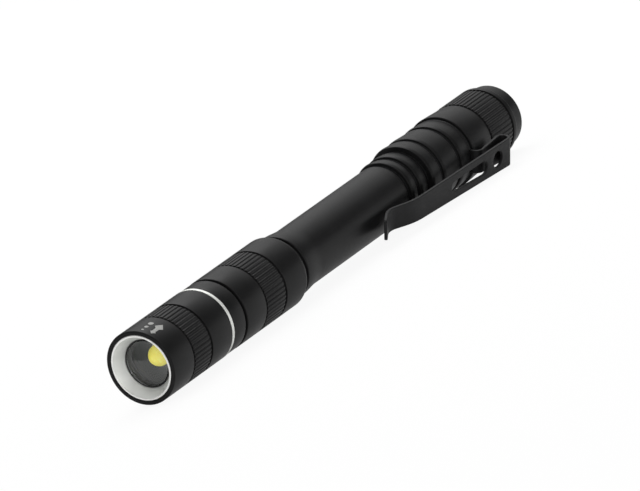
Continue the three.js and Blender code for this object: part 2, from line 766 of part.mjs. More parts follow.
// Corners of the arm in side view, from the end of the return bend to the tip of the lip
function armCorners() {
  const bendCentre = new THREE.Vector2(LEG_HEIGHT + CLIP_BEND, BEND_STATION);
  const plateStart = bendCentre.clone().add(polar(CLIP_BEND, -CLIP_TILT));
  const plateDirection = new THREE.Vector2(-Math.sin(CLIP_TILT), -Math.cos(CLIP_TILT));
  const kink = plateStart.clone().addScaledVector(plateDirection, CLIP_PLATE);
  const contactHeight = TUBE_RADIUS + CLIP_TIP_GAP + CLIP_SHEET / 2;
  const noseReach = (kink.x - contactHeight) / Math.tan(CLIP_NOSE_ANGLE);
  const contact = new THREE.Vector2(contactHeight, kink.y - noseReach);
  const lipDirection = new THREE.Vector2(Math.sin(CLIP_LIP_ANGLE), -Math.cos(CLIP_LIP_ANGLE));
  const tip = contact.clone().addScaledVector(lipDirection, CLIP_LIP);
  return { bendCentre, plateStart, kink, contact, tip };
}

function clipArm() {
  const { bendCentre, plateStart, kink, contact, tip } = armCorners();
  const path = new THREE.Path();
  path.moveTo(LEG_HEIGHT, SEAM_STATION + CLIP_SEAM / 2);
  path.absarc(bendCentre.x, bendCentre.y, CLIP_BEND, Math.PI, -CLIP_TILT, true);
  bendTo(path, plateStart, kink, contact, CLIP_KINK);
  bendTo(path, kink, contact, tip, CLIP_TIP_BEND);
  path.lineTo(tip.x, tip.y);
  return common(bentSheet(path, CLIP_WIDTH), clipPlan(tip.y));
}

// Plan of the arm: a taper from the bend to a rounded tip, with a round hole and a tapered slot
function clipPlan(tipStation) {
  const rear = BEND_STATION + 2 * CLIP_BEND;
  const half = CLIP_WIDTH / 2;
  const tipHalf = CLIP_TIP_WIDTH / 2;
  const plan = new THREE.Shape();
  plan.moveTo(half, rear);
  plan.lineTo(-half, rear);
  plan.lineTo(-half, BEND_STATION);
  plan.lineTo(-tipHalf, tipStation + CLIP_TIP_ROUND);
  plan.quadraticCurveTo(-tipHalf, tipStation, -tipHalf + CLIP_TIP_ROUND, tipStation);
  plan.lineTo(tipHalf - CLIP_TIP_ROUND, tipStation);
  plan.quadraticCurveTo(tipHalf, tipStation, tipHalf, tipStation + CLIP_TIP_ROUND);
  plan.lineTo(half, BEND_STATION);
  plan.closePath();

  const hole = new THREE.Path();
  hole.absarc(0, BEND_STATION - CLIP_HOLE_SETBACK, CLIP_HOLE_RADIUS, 0, 2 * Math.PI, true);
  const slotRear = BEND_STATION - CLIP_SLOT_SETBACK - CLIP_SLOT_REAR;
  const slotFront = BEND_STATION - CLIP_SLOT_SETBACK - CLIP_SLOT_LENGTH + CLIP_SLOT_FRONT;
  const slot = new THREE.Path();
  slot.absarc(0, slotRear, CLIP_SLOT_REAR, 0, Math.PI, false);
  slot.absarc(0, slotFront, CLIP_SLOT_FRONT, Math.PI, 2 * Math.PI, false);
  slot.closePath();
  plan.holes.push(hole, slot);

  return planSolid(plan);
}

// Plan of the inner leg: a taper from the return bend to the tab
function legPlan() {
  const half = CLIP_WIDTH / 2;
  const tabHalf = CLIP_TAB_WIDTH / 2;
  const tabEnd = WASHER_FRONT - CLIP_SHEET;
  const legStart = WASHER_FRONT + CLIP_SHEET / 2 + CLIP_TAB_BEND;
  const plan = new THREE.Shape();
  plan.moveTo(half, BEND_STATION);
  plan.lineTo(-half, BEND_STATION);
  plan.lineTo(-tabHalf, legStart);
  plan.lineTo(-tabHalf, tabEnd);
  plan.lineTo(tabHalf, tabEnd);
  plan.lineTo(tabHalf, legStart);
  plan.closePath();
  return planSolid(plan);
}

// Block with the given plan, from the axis to beyond the plate
function planSolid(plan) {
  const depth = PLATE_HEIGHT + 2 * CLIP_SHEET;
  const geometry = new THREE.ExtrudeGeometry(plan, { depth, bevelEnabled: false, curveSegments: 8 });
  geometry.rotateY(Math.PI / 2);
  return geometry;
}

// Assembly

const flashlight = new THREE.Group();

function add(name, geometry, material) {
  const mesh = new THREE.Mesh(geometry, material);
  mesh.name = name;
  flashlight.add(mesh);
}

add('head_sleeve', headSleeve(), anodisedBlack);
add('bezel_ring', bezelRing(), bareAluminium);
add('lens_seal', lensSeal(), blackRubber);
add('lens', lens(), clearLens);
add('bright_ring', brightRing(), bareAluminium);
add('head_collar', headCollar(), anodisedBlack);

add('front_body', frontBody(), anodisedBlack);
add('stop_ring', stopRing(), springSteel);
add('focus_seal', sealRing(COLLAR_BORE, FOCUS_SEAL), blackRubber);
add('led_dome', ledDome(), yellowPhosphor);
add('led_base', ledBase(), whiteCeramic);
add('led_board', disc(NECK_BORE - FIT, BOARD_FRONT, BOARD_FRONT + BOARD_THICKNESS), boardLaminate);
add('led_pill', ledPill(), bareAluminium);
add('driver_board', driverBoard(), boardLaminate);
add('driver_coil', driverCoil(), blackPlastic);
const frontSpringSeat = PILL_END + SEAT;
const frontSpringTip = CELLS_START - SEAT;
const frontSpringTipRadius = NUB_RADIUS - SPRING_WIRE;
add(
  'front_spring',
  coilSpring(frontSpringSeat, frontSpringTip, FRONT_SPRING_RADIUS, frontSpringTipRadius, 3, SPRING_WIRE),
  springSteel,
);

add('battery_tube', batteryTube(), anodisedBlack);
add('tube_seal', sealRing(BODY_SOCKET, BODY_END - SEAL_FROM_FACE), blackRubber);
add('front_cell', cell(CELLS_START), cellWrap);
add('rear_cell', cell(REAR_CELL_START), cellWrap);

add('tail_cap', tailCap(), anodisedBlack);
add('tail_seal', sealRing(GRIP_SOCKET, TUBE_END - SEAL_FROM_FACE), blackRubber);
add('tail_spring', tailSpring(), springSteel);
add('switch_retainer', switchRetainer(), brass);
add('switch_body', switchBody(), blackPlastic);
add('switch_spring', switchSpring(), springSteel);
add('switch_plunger', switchPlunger(), blackPlastic);
add('tail_button', tailButton(), blackRubber);

add('clip_base', clipBase(), blackSteel);
add('clip_arm', clipArm(), blackSteel);

// Axis along X, clip rolled down to the surface, origin under the middle of the bounding box
flashlight.rotation.set(ROLL, 0, -Math.PI / 2);
const box = new THREE.Box3().setFromObject(flashlight, true);
const middle = box.getCenter(new THREE.Vector3());
flashlight.position.set(-middle.x, -middle.y, -box.min.z);

export default flashlight;
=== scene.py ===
"""Looks of a slim pocket flashlight: fluted turned shells, a bent strip clip and a clear lens."""
import json
import math

import bmesh
import bpy
from mathutils import Matrix, Vector


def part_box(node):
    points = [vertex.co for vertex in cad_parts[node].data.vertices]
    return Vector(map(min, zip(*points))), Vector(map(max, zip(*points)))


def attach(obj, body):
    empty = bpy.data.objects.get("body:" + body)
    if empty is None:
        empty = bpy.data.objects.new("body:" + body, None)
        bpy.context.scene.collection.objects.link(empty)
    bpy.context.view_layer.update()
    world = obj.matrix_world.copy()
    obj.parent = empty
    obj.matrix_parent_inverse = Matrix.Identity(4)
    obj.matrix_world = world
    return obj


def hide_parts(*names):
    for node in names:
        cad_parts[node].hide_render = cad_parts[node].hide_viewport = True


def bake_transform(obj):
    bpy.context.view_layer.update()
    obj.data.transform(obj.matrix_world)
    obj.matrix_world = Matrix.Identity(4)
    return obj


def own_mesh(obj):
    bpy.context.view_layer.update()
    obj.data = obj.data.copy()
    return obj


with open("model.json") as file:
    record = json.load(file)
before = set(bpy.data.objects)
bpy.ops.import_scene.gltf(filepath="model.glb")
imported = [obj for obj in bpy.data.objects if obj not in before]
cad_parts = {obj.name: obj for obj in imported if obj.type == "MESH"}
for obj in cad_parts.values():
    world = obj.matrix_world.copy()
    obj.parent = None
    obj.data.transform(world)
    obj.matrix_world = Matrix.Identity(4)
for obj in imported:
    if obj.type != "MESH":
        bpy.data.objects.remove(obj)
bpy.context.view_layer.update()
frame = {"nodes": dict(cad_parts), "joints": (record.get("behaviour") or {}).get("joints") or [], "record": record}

MM = 0.001

# Where the part lies: its axis, and the clip's directions square to it
joints = {joint["name"]: joint for joint in frame["joints"]}
ALONG = Vector((1, 0, 0))
ACROSS = Vector(joints["clip_flex"]["axis"]).normalized()
OUTWARD = ALONG.cross(ACROSS)
AXIS_POINT = Vector(joints["cap_turn"]["pos_m"])
FRONT_CENTRE = Vector((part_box("head_sleeve")[0].x, AXIS_POINT.y, AXIS_POINT.z))

# Camera, in degrees and metres
CAMERA_AZIMUTH = -143.1
CAMERA_ELEVATION = 9.545
CAMERA_ROLL = -23.142
CAMERA_DISTANCE = 1.70337
CAMERA_TARGET = Vector((-0.000957, 0.003108, 0.007223))
CAMERA_LENS = 450
CAMERA_SENSOR = 36
CAMERA_CLIP = (0.01, 20)

# Rounds of turned corners, in millimetres: the usual one first, then those of particular edges
EASE = 0.07
FINE_EASE = 0.02
SEAM_EASE = 0.04
THIN_EASE = 0.05
LIP_EASE = 0.09
SLIGHT_EASE = 0.1
SOFT_EASE = 0.12
STEP_EASE = 0.15
COLLAR_EASE = 0.18
RIM_EASE = 0.2
WIDE_EASE = 0.25
EASE_STEPS = 3
EASE_SHARE = 0.45  # most of an edge that one round takes up

# Gaps between turned pieces, in millimetres
SEAT = 0.1
LENS_FIT = 0.02
SEAL_FIT = 0.04
NOSE_GAP = 0.3
WASHER_GAP = 0.25

# Turned shells, in millimetres; stations are counted from the front rim
ROUND_SIDES = 180
SHARP_ANGLE = math.radians(38)
FLUTE_COUNT = 52
FLUTE_DEPTH = 0.18
FLUTE_LAND = 0.35  # share of the pitch that stays round
FLUTE_STEPS = 8
RELIEF_WIDTH = 0.6
RELIEF_DEPTH = 0.35
HEAD_RADIUS = 8.2
MOUTH_RADIUS = 7.3
SLEEVE_BORE = 7.4
SLEEVE_END = 23.3
HEAD_FLUTES = (7.8, 15.4)
LENS_SHOULDER = (5.7, 8.1)
LENS_HOLE = 5.25
BEZEL_RADIUS = 7.2
BEZEL_FRONT = 0.06
BEZEL_LIP = 0.45
BEZEL_LIP_DEPTH = 0.2
BEZEL_THROAT = 5.4
BEZEL_FOOT = 2.6
BEZEL_END = 3.0
SEAL_FRONT = 2.65
RING_GAP = 0.1
RING_END = 24.3
COLLAR_RADIUS = 8.1
COLLAR_BORE = 6.75
COLLAR_SPIGOT = 7.25
COLLAR_FRONT = 18.35
COLLAR_END = 28.9
BODY_RADIUS = 8.15
NECK_RADIUS = 6.5
NECK_BORE = 5.2
NECK_FRONT = 8.9
CELL_BORE_FRONT = 36.6
BODY_START = 29.7
BODY_FLUTES = (37.4, 46.0)
SHOULDER_START = 53.7
BODY_END = 55.2
SHOULDER_DROP = 0.8
SHOULDER_SWEEP = 45  # in degrees; 90 is a full quarter
TUBE_RADIUS = 6.8
TUBE_BORE = 5.6
SPIGOT_RADIUS = 6.6
BODY_SOCKET = 6.75
TUBE_NOSE = 46.7
TUBE_START = 56.4
TUBE_END = 125.7
FLARE_RADIUS = 7.3
FLARE_END = 57.0
FLARE_FADE = 6.5
SEAM_RADIUS = 6.72
GRIP_RINGS = ((3.5, 7.35), (4.2, 7.45), (4.9, 8.2), (7.6, 8.2), (5.3, 8.2))  # length and radius of each
RING_FALL = 0.25
RING_GROOVE = 1.1
RING_GROOVE_DEPTH = 0.32
RING_GROOVE_SLOPE = 0.3
RING_LEAD = 0.6
RING_LEAD_DROP = 0.2
RING_LEAD_EASE = 0.6
RING_TAIL_EASE = 0.8
CAP_SOCKET = 6.85
CAP_SPIGOT = 6.6
CAP_NOSE = 117.5
WASHER = (125.8, 126.5)
WASHER_RADIUS = 7.95
CAP_START = 126.6
CAP_BAND_RADIUS = 8.45
CAP_BAND_REAR = 8.05
CAP_RADIUS = 8.17
CAP_FLUTES = (134.9, 144.8)
CAP_STEP = (146.0, 146.8)
CAP_END_RADIUS = 7.32
CAP_END_ROUND = 0.7
LENGTH = 150.3
CAP_FLOOR = 147.3
BUTTON_HOLE = 4.4
BUTTON_STEM = 4.15
BUTTON_FLANGE = 5.35
BUTTON_FRONT = 145.8
BUTTON_TOP = 149.9
BUTTON_CROWN = 0.6
COIL_RADIUS = 2.4
COIL_WIRE = 0.22
COIL_TURNS = 4
LENS_RADIUS = 5.0
LENS_APEX = 1.5
LENS_EDGE = 2.6
LENS_FLANGE = (4.2, 5.6)
LENS_BACK = 5.9
LED_FRONT = 6.1
LED_HEIGHT = 1.0
LED_RADIUS = 1.8

# Clip strip, in millimetres
SHEET = 0.7
CLIP_WIDTH = 6.5
CLIP_TAB_WIDTH = 5.4
CLIP_TIP_WIDTH = 4.9
CLIP_TIP_ROUND = 1.6
CLIP_EDGE = 0.16
CLIP_SHARP_ANGLE = math.radians(50)
TAB_START = 7.2
TAB_STATION = sum(WASHER) / 2
LEG_HEIGHT = 9.6
TAB_BEND = 1.5
BEND_STATION = 134.35
RETURN_BEND = 1.35
PLATE_TILT = math.radians(3.3)
PLATE_LENGTH = 37.6
KINK_REACH = 2.6
NOSE_ANGLE = math.radians(21)
TIP_REACH = 2.2
TIP_HEIGHT = 7.45
LIP_LENGTH = 5.9
LIP_ANGLE = math.radians(27)
HOLE_RADIUS = 1.85
HOLE_SETBACK = 4.5
SLOT_SETBACK = 8.75
SLOT_LENGTH = 14.4
SLOT_REAR = 1.6
SLOT_FRONT = 1.15
BEND_STEP = math.radians(6)
STRAIGHT_STEP = 4

# Marks on the head: angle round the axis from the clip, in degrees, and places in millimetres
ARROW_ANGLE = 75.8
DOT_ANGLE = 91.5
DOTS = ((1.4, 0.27), (2.9, 0.45), (4.7, 0.6))
DOT_SIDES = 24
ARROW_SIDE = ((1.0, 0), (1.9, 0.66), (2.1, 0.38), (3.55, 0.42), (4.25, 0.98), (5.75, 0))
MARK_HALF_WIDTH = 1.2
MARK_STRIPS = 8
MARK_PROUD = 0.012
MARK_DEPTH = 0.05


def place(height, station, across):
    """Place in the scene of a point given towards the clip, along the axis and across, in millimetres."""
    return FRONT_CENTRE + MM * (height * OUTWARD + station * ALONG + across * ACROSS)


def add_object(name, mesh):
    piece = bpy.data.objects.new(name, mesh)
    bpy.context.scene.collection.objects.link(piece)
    return piece


def face_outward(work):
    """Turns every face of a closed mesh outwards."""
    bmesh.ops.recalc_face_normals(work, faces=work.faces)
    if work.calc_volume(signed=True) < 0:
        bmesh.ops.reverse_faces(work, faces=work.faces)


def mesh_from(name, verts, faces):
    """Closed mesh with outward faces, smooth except at sharp corners."""
    mesh = bpy.data.meshes.new(name)
    mesh.from_pydata([tuple(v) for v in verts], [], faces)
    work = bmesh.new()
    work.from_mesh(mesh)
    face_outward(work)
    work.to_mesh(mesh)
    work.free()
    mesh.shade_smooth()
    mesh.set_sharp_from_angle(angle=SHARP_ANGLE)
    return mesh


def dress(piece, body, slot, material, *nodes):
    """Gives a piece its body and material, and hides the nodes that it stands for; the slot is not used."""
    piece.data.materials.clear()
    piece.data.materials.append(material)
    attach(piece, body)
    if nodes:
        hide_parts(*nodes)
    return piece


# Outlines of turned pieces

def corner(radius, station, ease=EASE, fluted=False):
    return {"at": Vector((radius, station)), "ease": ease, "fluted": fluted}


def eased(corners, closed):
    """Outline with a small round at each corner, as (radius, station, fluted) points."""
    points = []
    count = len(corners)
    for index, this in enumerate(corners):
        at = this["at"]
        at_end = not closed and index in (0, count - 1)
        if at_end or this["ease"] <= 0:
            points.append((at.x, at.y, this["fluted"]))
            continue
        before = corners[index - 1]["at"] - at
        after = corners[(index + 1) % count]["at"] - at
        reach = min(this["ease"], before.length * EASE_SHARE, after.length * EASE_SHARE)
        start = at + before.normalized() * reach
        end = at + after.normalized() * reach
        for step in range(EASE_STEPS + 1):
            t = step / EASE_STEPS
            point = start * (1 - t) ** 2 + at * 2 * t * (1 - t) + end * t ** 2
            points.append((point.x, point.y, this["fluted"]))
    return points


def flute_angles():
    """Angles round a fluted piece, with how deep the flute is at each, from 0 to 1."""
    half_land = FLUTE_LAND / 2
    half_groove = 0.5 - half_land
    shares = [0, half_land]
    shares += [half_land + half_groove * 2 * step / FLUTE_STEPS for step in range(1, FLUTE_STEPS)]
    shares += [1 - half_land]
    angles = []
    for flute in range(FLUTE_COUNT):
        for share in shares:
            depth = max(0.0, 1 - ((share - 0.5) / half_groove) ** 2)
            angles.append((2 * math.pi * (flute + share) / FLUTE_COUNT, depth))
    return angles


def turned(name, corners, closed=True, fluted=False):
    """Solid of revolution about the light's axis. An open outline starts and ends on the axis."""
    outline = eased(corners, closed)
    if fluted:
        angles = flute_angles()
    else:
        angles = [(2 * math.pi * side / ROUND_SIDES, 0) for side in range(ROUND_SIDES)]
    verts = []
    rows = []
    for radius, station, grooved in outline:
        if radius < 1e-6:
            rows.append([len(verts)])
            verts.append(place(0, station, 0))
            continue
        row = []
        for angle, depth in angles:
            reach = radius - FLUTE_DEPTH * depth if grooved else radius
            row.append(len(verts))
            verts.append(place(reach * math.cos(angle), station, reach * math.sin(angle)))
        rows.append(row)
    faces = []
    pairs = list(zip(rows, rows[1:]))
    if closed:
        pairs.append((rows[-1], rows[0]))
    for low, high in pairs:
        faces += band(low, high, len(angles))
    return add_object(name, mesh_from(name, verts, faces))


def band(low, high, count):
    """Faces between two rows of a turned piece; a row of one point is a pole."""
    faces = []
    for side in range(count):
        after = (side + 1) % count
        if len(low) == 1:
            faces.append((low[0], high[after], high[side]))
        elif len(high) == 1:
            faces.append((low[side], low[after], high[0]))
        else:
            faces.append((low[side], low[after], high[after], high[side]))
    return faces


def flute_band(radius, front, rear):
    """Corners of a fluted stretch that stands between two relief grooves."""
    floor = radius - RELIEF_DEPTH
    first = front + RELIEF_WIDTH
    last = rear - RELIEF_WIDTH
    return [
        corner(radius, front),
        corner(floor, front),
        corner(floor, first),
        corner(radius, first, fluted=True),
        corner(radius, last, fluted=True),
        corner(floor, last),
        corner(floor, rear),
        corner(radius, rear),
    ]


def crown(radius, rise, apex, direction, steps=14):
    """Corners of a dome from its apex on the axis to its rim."""
    sphere = (radius ** 2 + rise ** 2) / (2 * rise)
    spread = math.asin(radius / sphere)
    corners = []
    for step in range(steps + 1):
        angle = spread * step / steps
        station = apex + direction * sphere * (1 - math.cos(angle))
        corners.append(corner(sphere * math.sin(angle), station, ease=0))
    return corners


def rounded_fall(radius, station, drop, length, sweep=90, steps=8):
    """Corners of an elliptical fall at the rear end of a shell; 90 degrees is a full quarter."""
    full = math.radians(sweep)
    corners = []
    for step in range(steps + 1):
        angle = full * step / steps
        fall = drop * (1 - math.cos(angle)) / (1 - math.cos(full))
        reach = length * math.sin(angle) / math.sin(full)
        corners.append(corner(radius - fall, station + reach, ease=0))
    return corners


# Pieces of the focus head

def head_sleeve():
    return turned("sleeve_shell", [
        corner(MOUTH_RADIUS, 0, THIN_EASE),
        corner(HEAD_RADIUS, 0, RIM_EASE),
        *flute_band(HEAD_RADIUS, *HEAD_FLUTES),
        corner(HEAD_RADIUS, SLEEVE_END, SOFT_EASE),
        corner(SLEEVE_BORE, SLEEVE_END),
        corner(SLEEVE_BORE, LENS_SHOULDER[1]),
        corner(LENS_HOLE, LENS_SHOULDER[1]),
        corner(LENS_HOLE, LENS_SHOULDER[0]),
        corner(MOUTH_RADIUS, LENS_SHOULDER[0]),
    ], fluted=True)


def bezel():
    return turned("bezel_cone", [
        corner(BEZEL_RADIUS - BEZEL_LIP, BEZEL_FRONT + BEZEL_LIP_DEPTH, FINE_EASE),
        corner(BEZEL_RADIUS, BEZEL_FRONT + BEZEL_LIP_DEPTH, FINE_EASE),
        corner(BEZEL_RADIUS, BEZEL_END),
        corner(BEZEL_THROAT, BEZEL_END),
        corner(BEZEL_THROAT, BEZEL_FOOT, SLIGHT_EASE),
    ])


def bezel_lip():
    return turned("bezel_lip", [
        corner(BEZEL_RADIUS - BEZEL_LIP, BEZEL_FRONT, LIP_EASE),
        corner(BEZEL_RADIUS, BEZEL_FRONT, LIP_EASE),
        corner(BEZEL_RADIUS, BEZEL_FRONT + BEZEL_LIP_DEPTH, FINE_EASE),
        corner(BEZEL_RADIUS - BEZEL_LIP, BEZEL_FRONT + BEZEL_LIP_DEPTH, FINE_EASE),
    ])


def lens_seal():
    return turned("lens_gasket", [
        corner(LENS_RADIUS + LENS_FIT, SEAL_FRONT, SOFT_EASE),
        corner(BEZEL_THROAT - SEAL_FIT, SEAL_FRONT, SOFT_EASE),
        corner(BEZEL_THROAT - SEAL_FIT, BEZEL_END + SEAT),
        corner(BEZEL_RADIUS, BEZEL_END + SEAT),
        corner(BEZEL_RADIUS, LENS_FLANGE[0] - SEAT),
        corner(LENS_RADIUS + LENS_FIT, LENS_FLANGE[0] - SEAT),
    ])


def lens():
    radius = LENS_RADIUS - LENS_FIT
    return turned("lens_glass", [
        *crown(radius, LENS_EDGE - LENS_APEX, LENS_APEX, 1, steps=24),
        corner(radius, LENS_FLANGE[0]),
        corner(BEZEL_RADIUS, LENS_FLANGE[0]),
        corner(BEZEL_RADIUS, LENS_FLANGE[1]),
        corner(radius, LENS_FLANGE[1]),
        corner(radius, LENS_BACK, THIN_EASE),
        corner(0, LENS_BACK, 0),
    ], closed=False)


def led_dome():
    dome = crown(LED_RADIUS, LED_HEIGHT, LED_FRONT, 1)
    return turned("led_phosphor", [*dome, corner(0, LED_FRONT + LED_HEIGHT, 0)], closed=False)


def bright_ring():
    front = SLEEVE_END + RING_GAP
    rear = RING_END - RING_GAP
    return turned("silver_ring", [
        corner(SLEEVE_BORE, front),
        corner(HEAD_RADIUS, front, SOFT_EASE),
        corner(HEAD_RADIUS, rear, SOFT_EASE),
        corner(SLEEVE_BORE, rear),
    ])


def head_collar():
    return turned("collar_shell", [
        corner(COLLAR_BORE, COLLAR_FRONT),
        corner(COLLAR_SPIGOT, COLLAR_FRONT),
        corner(COLLAR_SPIGOT, RING_END),
        corner(COLLAR_RADIUS, RING_END, SLIGHT_EASE),
        corner(COLLAR_RADIUS, COLLAR_END, COLLAR_EASE),
        corner(COLLAR_BORE, COLLAR_END),
    ])


# Barrel

def front_body():
    shoulder = BODY_END - SHOULDER_START
    return turned("body_shell", [
        corner(NECK_BORE, NECK_FRONT),
        corner(NECK_RADIUS, NECK_FRONT),
        corner(NECK_RADIUS, BODY_START, RIM_EASE),
        corner(BODY_RADIUS, BODY_START, RIM_EASE),
        *flute_band(BODY_RADIUS, *BODY_FLUTES),
        *rounded_fall(BODY_RADIUS, SHOULDER_START, SHOULDER_DROP, shoulder, SHOULDER_SWEEP),
        corner(BODY_SOCKET, BODY_END),
        corner(BODY_SOCKET, TUBE_NOSE - NOSE_GAP),
        corner(TUBE_BORE, TUBE_NOSE - NOSE_GAP),
        corner(TUBE_BORE, CELL_BORE_FRONT),
        corner(NECK_BORE, CELL_BORE_FRONT),
    ], fluted=True)


def battery_tube():
    return turned("tube_shell", [
        corner(TUBE_BORE, TUBE_NOSE),
        corner(SPIGOT_RADIUS, TUBE_NOSE),
        corner(SPIGOT_RADIUS, BODY_END),
        corner(SEAM_RADIUS, BODY_END + SEAT),
        corner(SEAM_RADIUS, TUBE_START, SEAM_EASE),
        corner(FLARE_RADIUS, TUBE_START, WIDE_EASE),
        *flare_fade(),
        *grip_rings(),
        corner(CAP_SOCKET, TUBE_END),
        corner(CAP_SOCKET, CAP_NOSE - NOSE_GAP),
        corner(TUBE_BORE, CAP_NOSE - NOSE_GAP),
    ])


def flare_fade(steps=14):
    """Corners of the soft fall from the flare to the plain tube."""
    half_fall = (FLARE_RADIUS - TUBE_RADIUS) / 2
    corners = []
    for step in range(steps + 1):
        share = step / steps
        radius = TUBE_RADIUS + half_fall * (1 + math.cos(math.pi * share))
        corners.append(corner(radius, FLARE_END + FLARE_FADE * share, ease=0))
    return corners


def grip_rings():
    """Corners of the stepped rings: a groove before each one, then a slow fall towards the tail."""
    corners = []
    station = TUBE_END - sum(length for length, radius in GRIP_RINGS)
    before = TUBE_RADIUS
    for length, radius in GRIP_RINGS:
        floor = before - RING_GROOVE_DEPTH
        rise = station + RING_GROOVE
        corners += [
            corner(before, station, RING_TAIL_EASE),
            corner(floor, station + RING_GROOVE_SLOPE, STEP_EASE),
            corner(floor, rise),
            corner(radius - RING_LEAD_DROP, rise, SLIGHT_EASE),
            corner(radius, rise + RING_LEAD, RING_LEAD_EASE),
        ]
        station += length
        before = radius - RING_FALL
    corners.append(corner(before, station, SOFT_EASE))
    return corners


# Tail

def tail_cap():
    return turned("cap_shell", [
        corner(TUBE_BORE, CAP_NOSE),
        corner(CAP_SPIGOT, CAP_NOSE),
        corner(CAP_SPIGOT, CAP_START),
        corner(CAP_BAND_RADIUS, CAP_START, WIDE_EASE),
        corner(CAP_BAND_REAR, CAP_FLUTES[0]),
        *flute_band(CAP_RADIUS, *CAP_FLUTES)[1:],
        corner(CAP_RADIUS, CAP_STEP[0], STEP_EASE),
        corner(CAP_END_RADIUS, CAP_STEP[1], WIDE_EASE),
        *rounded_fall(CAP_END_RADIUS, LENGTH - CAP_END_ROUND, CAP_END_ROUND, CAP_END_ROUND),
        corner(BUTTON_HOLE, LENGTH, STEP_EASE),
        corner(BUTTON_HOLE, CAP_FLOOR),
        corner(TUBE_BORE, CAP_FLOOR),
    ], fluted=True)


def tail_button():
    top = crown(BUTTON_STEM, BUTTON_CROWN, BUTTON_TOP, -1)
    top[-1]["ease"] = RIM_EASE
    return turned("button_boot", [
        corner(0, BUTTON_FRONT, 0),
        corner(BUTTON_FLANGE, BUTTON_FRONT),
        corner(BUTTON_FLANGE, CAP_FLOOR - SEAT),
        corner(BUTTON_STEM, CAP_FLOOR - SEAT),
        *reversed(top),
    ], closed=False)


def coil_stations():
    """Front and rear of the switch spring's seat, read from its node."""
    low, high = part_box("switch_spring")
    return (low.x - FRONT_CENTRE.x) / MM, (high.x - FRONT_CENTRE.x) / MM


def switch_coil(steps=96, sides=8):
    """Return spring of the switch: one round wire with flat ends."""
    front, rear = coil_stations()
    length = rear - front - 2 * COIL_WIRE
    verts = []
    rows = []
    for step in range(steps + 1):
        share = step / steps
        angle = 2 * math.pi * COIL_TURNS * share
        row = []
        for side in range(sides):
            turn = 2 * math.pi * side / sides
            reach = COIL_RADIUS + COIL_WIRE * math.cos(turn)
            station = front + COIL_WIRE + length * share + COIL_WIRE * math.sin(turn)
            row.append(len(verts))
            verts.append(place(reach * math.cos(angle), station, reach * math.sin(angle)))
        rows.append(row)
    faces = [tuple(rows[0]), tuple(reversed(rows[-1]))]
    for low, high in zip(rows, rows[1:]):
        faces += band(low, high, sides)
    return add_object("switch_coil", mesh_from("switch_coil", verts, faces))


def clip_washer():
    bore = CAP_SPIGOT + WASHER_GAP
    return turned("clip_washer", [
        corner(bore, WASHER[0]),
        corner(WASHER_RADIUS, WASHER[0], SOFT_EASE),
        corner(WASHER_RADIUS, WASHER[1], SOFT_EASE),
        corner(bore, WASHER[1]),
    ])


# Clip strip: a flat blank with its holes, bent along a path of straights and arcs

def clip_path():
    """Straights and arcs of the strip's middle, from the tab to the lip, as (length, turn)."""
    plate_start = LEG_HEIGHT + RETURN_BEND + RETURN_BEND * math.cos(PLATE_TILT)
    kink_height = plate_start - PLATE_LENGTH * math.sin(PLATE_TILT)
    kink_turn = NOSE_ANGLE - PLATE_TILT
    nose = (kink_height - TIP_HEIGHT) / math.sin(NOSE_ANGLE)
    tip_turn = NOSE_ANGLE + LIP_ANGLE
    leg = BEND_STATION - TAB_STATION - TAB_BEND
    return [
        (LEG_HEIGHT - TAB_BEND - TAB_START, 0),
        (TAB_BEND * math.pi / 2, math.pi / 2),
        (leg, 0),
        (RETURN_BEND * (math.pi + PLATE_TILT), -(math.pi + PLATE_TILT)),
        (PLATE_LENGTH - KINK_REACH, 0),
        (2 * KINK_REACH, -kink_turn),
        (nose - KINK_REACH - TIP_REACH, 0),
        (2 * TIP_REACH, tip_turn),
        (LIP_LENGTH - TIP_REACH, 0),
    ]


def path_starts(path):
    starts = [0.0]
    for length, turn in path:
        starts.append(starts[-1] + length)
    return starts


def along_path(path, distance):
    """Height, station and heading at a distance along the strip; a left turn is positive."""
    height = TAB_START
    station = TAB_STATION
    heading = 0.0
    left = distance
    for index, (length, turn) in enumerate(path):
        last = index == len(path) - 1
        part = left if last else min(left, length)
        if abs(turn) < 1e-9:
            height += part * math.cos(heading)
            station += part * math.sin(heading)
        else:
            radius = length / turn
            turned_by = part / radius
            height += radius * (math.sin(heading + turned_by) - math.sin(heading))
            station += radius * (math.cos(heading) - math.cos(heading + turned_by))
            heading += turned_by
        left -= part
        if left <= 1e-9:
            break
    return height, station, heading


def rounded_loop(points, reach, steps=10):
    """Closed loop with every corner rounded by its own reach."""
    loop = []
    count = len(points)
    for index, point in enumerate(points):
        before = points[index - 1] - point
        after = points[(index + 1) % count] - point
        size = reach[index]
        if size <= 0:
            loop.append(point)
            continue
        start = point + before.normalized() * size
        end = point + after.normalized() * size
        for step in range(steps + 1):
            t = step / steps
            loop.append(start * (1 - t) ** 2 + point * 2 * t * (1 - t) + end * t ** 2)
    return loop


def arc(centre, radius, start, end, steps):
    """Points of an arc about a centre on the strip's middle line."""
    angles = [start + (end - start) * step / steps for step in range(steps + 1)]
    return [Vector((centre + radius * math.cos(angle), radius * math.sin(angle))) for angle in angles]


